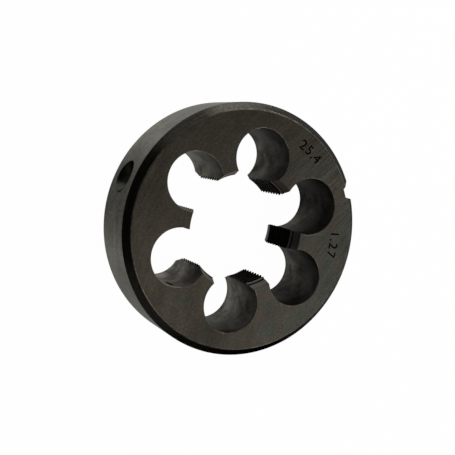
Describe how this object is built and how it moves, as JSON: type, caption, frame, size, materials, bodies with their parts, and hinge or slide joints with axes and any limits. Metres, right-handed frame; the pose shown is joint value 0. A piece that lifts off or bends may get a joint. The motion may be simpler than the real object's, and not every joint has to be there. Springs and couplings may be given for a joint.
{
  "type": "round threading die",
  "caption": "Flat round steel die that cuts an outside thread on a rod, with a notched rim for its stock, lead cones, and chip holes between the threaded lands.",
  "frame": {"origin": "centre of the flat back face, on the bore's axis", "axes": "+Z along the bore's axis to the marked front face, +X towards the V notch in the rim"},
  "size_m": [0.0549, 0.055, 0.016],
  "materials": {
    "tool_steel": "hardened tool steel with a dark oxide skin, finely ground on its faces and rim"
  },
  "bodies": {
    "root": {"die_body": "tool_steel"}
  },
  "joints": []
}
